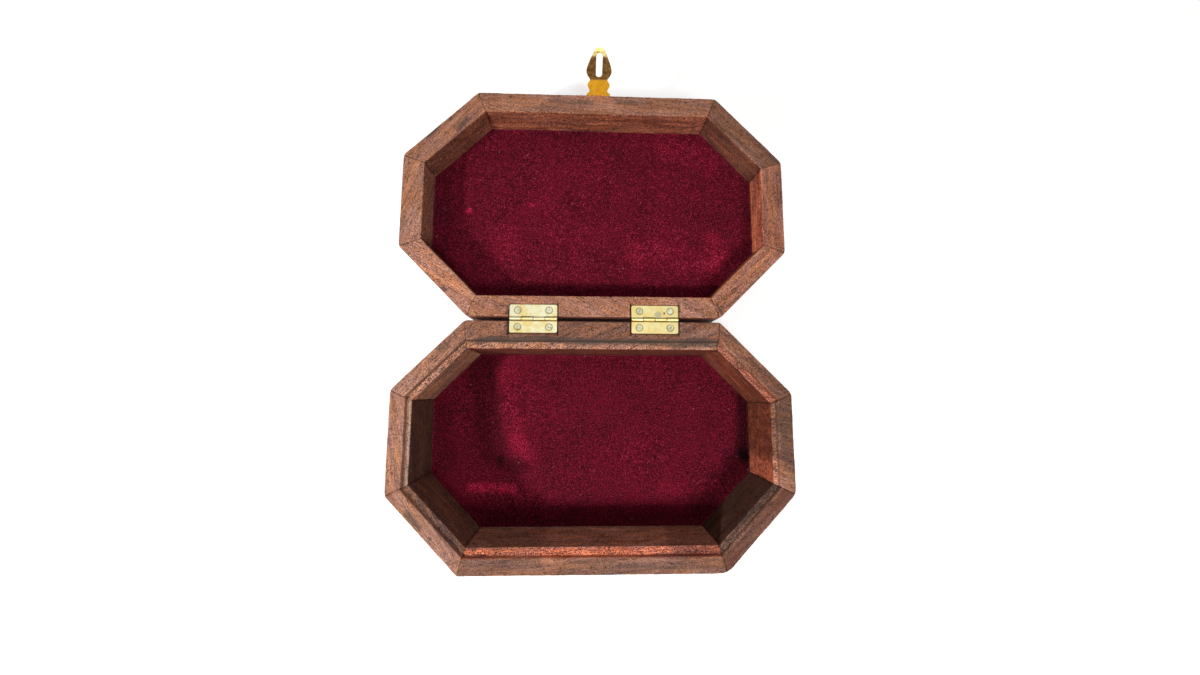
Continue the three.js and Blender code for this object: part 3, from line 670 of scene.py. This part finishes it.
# For each stave: how dark or light its outer face, rim, inner face and foot are, how oiled its rim and inner
# face are, the grain's turn, and its corners' rounding.
lid_staves = {
    "back": ((0.8, 1.16, 1.4, 0.7), (0.12, 0.5), -26, (1, 2)),
    "back_right": ((0.8, 1.15, 1.27, 0.7), (0.25, 0.7), -5, (2, 1.5)),
    "right": ((0.8, 1.02, 1.74, 0.7), (0.35, 0.85), 4, (1.5, 2)),
    "front_right": ((0.8, 0.65, 0.52, 0.7), (0.1, 0.55), 6, (2, 2)),
    "front": ((0.8, 1.06, 0.9, 0.7), (0.08, 0.72), -4, (2, 1.5)),
    "front_left": ((0.8, 1.04, 0.79, 0.7), (0.05, 0.55), 9, (1.5, 2)),
    "left": ((0.8, 1.24, 1.22, 0.7), (0, 0.15), -20, (2, 1.5)),
    "back_left": ((0.8, 1.43, 1.2, 0.7), (0.1, 0.5), 14, (1.5, 1)),
}
lid_stains = {
    "back_right": [([(64.1, 71.1), (66.6, 66.3)], 0.8, 1.1)],
    "right": [([(92.8, 150.4), (93, 151)], 1.4, 0.8)],
    "front": [([(-24, 183), (-2, 182.3)], 2.2, 0.55), ([(12, 183), (30, 183.2)], 2.0, 0.55)],
    "front_left": [
        ([(-88.8, 161.5), (-84.1, 166.7)], 1.6, 0.95),
        ([(-73.1, 165.9), (-69, 171.2)], 1.6, 0.85),
        ([(-78.1, 170.9), (-77.4, 171.6)], 1.2, 0.9),
    ],
    "back_left": [([(-77.3, 78.5), (-76.5, 77.6)], 1.3, 0.9)],
}
LID_STAVES_LOW = 22.22
for side_name, (tones, (rim, inside), turn, rounds) in lid_staves.items():
    node = "lid_wall_" + side_name
    piece = stave(
        "lid_stave_" + side_name, node,
        lambda thick: [(0, LID_STAVES_LOW), (0, RIM_Z), (thick, RIM_Z), (thick, LID_STAVES_LOW)],
        radii=(0.15, 0.7, 0.5, 0.15), spacing=(2, 0.9, 1.4, 3),
        tones=tones, varnishes=(0.6, rim, inside, 0.5), turn=turn, rounds=rounds,
        stains=lid_stains.get(side_name, ()), painted_light=(), pale=0, seams=(0.15, 0.7),
        beds=beds_along(node, 1) if side_name == "back" else (),
    )
    piece.data.materials.append(stave_wood)
    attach(piece, "lid")
    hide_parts(node)


# The lid's board, the top of the closed box: one board of the same wood, glued to the lid's staves. Its edge
# is rounded over, and beds for the inlay are cut in it.
lid_board = finished_copy("lid_board", "lid_top_board", 0)
lid_board.data.materials.append(board_wood("lid_board_wood", (0.36, 0.13, 0.06)))
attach(lid_board, "lid")
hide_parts("lid_top_board")


# The lid's lining: the same crimson velvet on card, glued to the inside of the lid's board. It is brushed in
# other places than the base's, has two small bright marks, and has painted shadow along its walls.
# The negative weights are painted shadows along the lid's walls; the positive ones are brushed nap and the
# two bright marks.
lid_lining = lining("lid_lining", "lid_velvet", [
    ([(26, 104), (66, 99)], 8.0, 0.45),
    ([(68, 97), (72, 104), (68, 112)], 5.0, 0.6),
    ([(40, 168), (68, 158)], 8.0, 0.4),
    ([(-45, 100), (-52, 112)], 8.0, 0.3),
    ([(-70.4, 126.1), (-70, 127)], 1.4, 2.6),
    ([(-35.7, 130.9), (-35, 131)], 1.1, 2.6),
    ([(86, 90), (70, 78)], 8.0, -0.45),
    ([(88, 150), (88, 100)], 4.0, -0.3),
    ([(-85, 150), (-85, 100)], 6.0, -0.25),
    ([(-30, 125), (30, 125)], 30.0, 0.17),
], 23)
lid_lining.data.materials.append(crimson)
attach(lid_lining, "lid")
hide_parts("lid_velvet")


# The inlay in the lid's outer face: a border of eight brass strips, and a flower of eight brass leaves round
# a disc. They are cut from sheet and let in flush.
def brass(name, bright, dull, metallic):
    """Old brass: bright where it is rubbed, duller in clouds and specks, with fine scratches along X."""
    metal = Finish(name)
    place = metal.node("ShaderNodeTexCoord", {}, {}, "Object")
    clouds = metal.noise(place, (260.0, 260.0, 260.0), 3.0, 0.6)
    specks = metal.noise(place, (1900.0, 1900.0, 1900.0), 2.0)
    scratches = metal.noise(place, (350.0, 5200.0, 2600.0), 2.0)
    colour = metal.mix(metal.step(clouds * 0.7 + specks * 0.3, 0.38, 0.66), bright, dull)
    colour = metal.mix(metal.step(specks, 0.64, 0.74) * 0.6, colour, tuple(0.4 * part for part in dull))
    metal.set(Base_Color=colour, Metallic=metallic, Roughness=0.28 + clouds * 0.2 + scratches * 0.12)
    metal.bump(scratches * 0.5 + clouds + specks * 0.4, 0.00006)
    return metal.material


inlay_brass = brass("inlay_brass_worn", (0.8, 0.58, 0.2), (0.6, 0.4, 0.13), 0.6)
for node in [name for name in sorted(nodes) if name.startswith("inlay_")]:
    piece = finished_copy(node.replace("inlay_", "inlaid_"), node, 0.12)
    piece.data.materials.append(inlay_brass)
    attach(piece, "lid")
    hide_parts(node)


# The two butt hinges: leaves cut from brass sheet, their knuckles rolled round a brass pin, let into the
# back rims. Rubbing has left them pale and bright.

# In metres: the barrels' axis, each hinge's middle to its side, and the length of a knuckle.
HINGE_AXIS, HINGE_CENTRE, KNUCKLE = 0.0631, HINGE_SIDE * MM, 0.006075
# The radius of the painted shade round a screw's head, and how far before and behind the axis the lines of
# painted shade lie.
SCREW_SHADE_RADIUS, SHADOW_LINE_BEFORE, SHADE_LINE_BEHIND = 0.00175, 0.00112, 0.00105
# A dull spot of solder and a small dark spot, both on the right hinge.
SOLDER_PLACE, SPOT_PLACE = (0.033, 0.0655, 0), (0.0362, 0.0664, 0)


def rubbed_hinge(name, screws):
    """Pale rubbed brass with painted shade in a ring round each screw's head, a painted shadow along the
    barrel's near side and, over every other knuckle, painted shade along its far side, and in the joints
    between the knuckles, where a sine of the place along the barrel is 0. The left hinge is the paler one."""
    metal = Finish(name)
    place = metal.node("ShaderNodeTexCoord", {}, {}, "Object")
    clouds = metal.noise(place, (260.0, 260.0, 260.0), 3.0, 0.6)
    specks = metal.noise(place, (1500.0, 1500.0, 1500.0), 2.0)
    scratches = metal.noise(place, (350.0, 4200.0, 2600.0), 2.0)
    x = metal.node("ShaderNodeSeparateXYZ", {}, {0: place}, 0)
    y = metal.node("ShaderNodeSeparateXYZ", {}, {0: place}, 1)
    hand = metal.node("ShaderNodeMath", {"operation": "SIGN"}, {0: x})
    local = x - hand * HINGE_CENTRE

    def far_from(value, middle):
        return metal.node("ShaderNodeMath", {"operation": "ABSOLUTE"}, {0: value - middle})

    plan = metal.stretched(place, (1, 1, 0))
    nearest = 1
    for centre in screws:
        away = metal.node("ShaderNodeVectorMath", {"operation": "DISTANCE"}, {0: plan, 1: (*centre, 0)}, 1)
        nearest = metal.node("ShaderNodeMath", {"operation": "MINIMUM"}, {0: nearest, 1: away})
    # Painted shade: a dark ring in the gap round each screw's head.
    screw_gap_shade = metal.step(far_from(nearest, SCREW_SHADE_RADIUS), 0.0003, 0.00012)
    # Painted shadow of the barrel along its near side, and painted shade in the creases along its far side
    # over every other knuckle.
    barrel_shadow = metal.step(far_from(y, HINGE_AXIS - SHADOW_LINE_BEFORE), 0.00042, 0.00015)
    wave = metal.node("ShaderNodeMath", {"operation": "SINE"}, {0: local * (np.pi / KNUCKLE)})
    knuckle_crease_shade = metal.step(far_from(y, HINGE_AXIS + SHADE_LINE_BEHIND), 0.00036, 0.00012)
    knuckle_crease_shade = knuckle_crease_shade * metal.step(wave, 0.1, -0.1)
    pale = metal.mix(hand * 0.5 + 0.5, (1.0, 0.97, 0.68), (1.0, 0.88, 0.44))
    colour = metal.mix(metal.step(clouds * 0.7 + specks * 0.3, 0.4, 0.62), pale, (0.95, 0.76, 0.3))
    colour = metal.mix(screw_gap_shade * (0.45 + specks * 0.5), colour, (0.16, 0.13, 0.05))
    colour = metal.mix(barrel_shadow * 0.85, colour, (0.22, 0.13, 0.02))
    colour = metal.mix(knuckle_crease_shade * 0.8, colour, (0.25, 0.16, 0.05))
    on_barrel = metal.step(far_from(y, HINGE_AXIS), 0.0011, 0.0008)
    # Painted shade in the gaps between the knuckles.
    joint = metal.step(far_from(wave, 0), 0.13, 0.05) * on_barrel
    colour = metal.mix(joint * 0.8, colour, (0.14, 0.09, 0.03))
    solder = metal.node("ShaderNodeVectorMath", {"operation": "DISTANCE"}, {0: plan, 1: SOLDER_PLACE}, 1)
    soldered = metal.step(solder + (specks - 0.5) * 0.001, 0.0021, 0.0015)
    colour = metal.mix(soldered * 0.7, colour, (0.5, 0.5, 0.36))
    spot = metal.node("ShaderNodeVectorMath", {"operation": "DISTANCE"}, {0: plan, 1: SPOT_PLACE}, 1)
    colour = metal.mix(metal.step(spot, 0.0007, 0.0004) * 0.85, colour, (0.12, 0.07, 0.03))
    metal.set(Base_Color=colour, Metallic=1.0, Roughness=0.3 + clouds * 0.2 + scratches * 0.12)
    metal.bump(scratches * 0.5 + clouds + specks * 0.4, 0.00006)
    return metal.material


screw_boxes = [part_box(node) for node in sorted(nodes) if node.startswith("screw_")]
screw_middles = [((low.x + high.x) / 2, (low.y + high.y) / 2) for low, high in screw_boxes]
hinge_brass = rubbed_hinge("hinge_brass_rubbed", screw_middles)
for place in ("left", "right"):
    for part, body in (("base_leaf", "base"), ("lid_leaf", "lid"), ("pin", "base")):
        node = f"hinge_{place}_{part}"
        piece = finished_copy(f"butt_{place}_{part}", node, 0.1)
        piece.data.materials.append(hinge_brass)
        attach(piece, body)
        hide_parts(node)


# The hinges' eight countersunk screws: turned from pale metal, each with one slot across its head, and
# driven in until the heads are flush with the leaves.
screw_metal = brass("screw_metal_pale", (0.95, 0.95, 0.74), (0.62, 0.6, 0.38), 1.0)
for place in ("left", "right"):
    for part in ("base", "lid"):
        for number in (1, 2):
            node = f"screw_{place}_{part}_{number}"
            piece = finished_copy(f"head_{place}_{part}_{number}", node, 0.2)
            piece.data.materials.append(screw_metal)
            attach(piece, part)
            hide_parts(node)


# The hasp: a plate nailed to the lid's front, and a flap hinged to it with a lobe, a slotted spade and a
# curled tip, which goes over a staple on the base. It is cut from sheet brass and coloured gold, with a
# painted dark reflection on the spade and a painted highlight on the tip.

# In metres: the hinge axis, and how far from it the spade and the tip begin.
HASP_AXIS_Y, HASP_AXIS_Z = 0.1883, 0.037
SPADE_FROM, TIP_FROM = 0.0085, 0.0208


def hasp_painted_reflections(name):
    """Sheet brass by its distance from the hinge axis: golden up to the flap's neck, then a painted dark
    reflection in brown on the spade and a painted pale highlight on the tip."""
    metal = Finish(name)
    place = metal.node("ShaderNodeTexCoord", {}, {}, "Object")
    specks = metal.noise(place, (1500.0, 1500.0, 1500.0), 2.0)
    clouds = metal.noise(place, (420.0, 420.0, 420.0), 3.0, 0.6)
    scratches = metal.noise(place, (2600.0, 500.0, 2600.0), 2.0)
    y = metal.node("ShaderNodeSeparateXYZ", {}, {0: place}, 1)
    z = metal.node("ShaderNodeSeparateXYZ", {}, {0: place}, 2)
    reach = ((y - HASP_AXIS_Y) ** 2 + (z - HASP_AXIS_Z) ** 2) ** 0.5
    reach = reach + (clouds - 0.5) * 0.0014 + (specks - 0.5) * 0.0014
    past_lid = metal.step(y, HASP_AXIS_Y + 0.0003, HASP_AXIS_Y + 0.0009)
    spade = metal.step(reach, SPADE_FROM, SPADE_FROM + 0.0009) * past_lid
    tip = metal.step(reach, TIP_FROM, TIP_FROM + 0.0014) * past_lid
    shade = metal.step(clouds * 0.6 + specks * 0.4, 0.38, 0.62)
    gold = metal.mix(shade, (0.7, 0.3, 0.006), (0.82, 0.42, 0.012))
    # Painted reflection: the spade's brown stands for the dark room that its slope reflects.
    spade_dark_reflection = metal.mix(shade, (0.26, 0.14, 0.035), (0.62, 0.36, 0.11))
    # Painted highlight: the tip's pale colour stands for the light that its curl catches.
    pale = metal.mix(shade, (0.62, 0.42, 0.08), (0.88, 0.78, 0.34))
    colour = metal.mix(tip, metal.mix(spade, gold, spade_dark_reflection), pale)
    metal.set(Base_Color=colour, Metallic=0.3 + spade * 0.55 - tip * 0.3)
    metal.set(Roughness=0.32 + clouds * 0.16 + scratches * 0.12)
    metal.bump(scratches * 0.5 + clouds + specks * 0.4, 0.00006)
    return metal.material


hasp_brass = hasp_painted_reflections("hasp_brass_aged")
for node, body in (
    ("hasp_plate", "lid"), ("hasp_pin", "lid"), ("hasp_flap", "hasp"), ("keeper_staple", "base"),
    ("hasp_nail_1", "lid"), ("hasp_nail_2", "lid"), ("hasp_nail_3", "lid"),
):
    piece = finished_copy(node + "_aged", node, 0.1)
    piece.data.materials.append(hasp_brass)
    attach(piece, body)
    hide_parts(node)
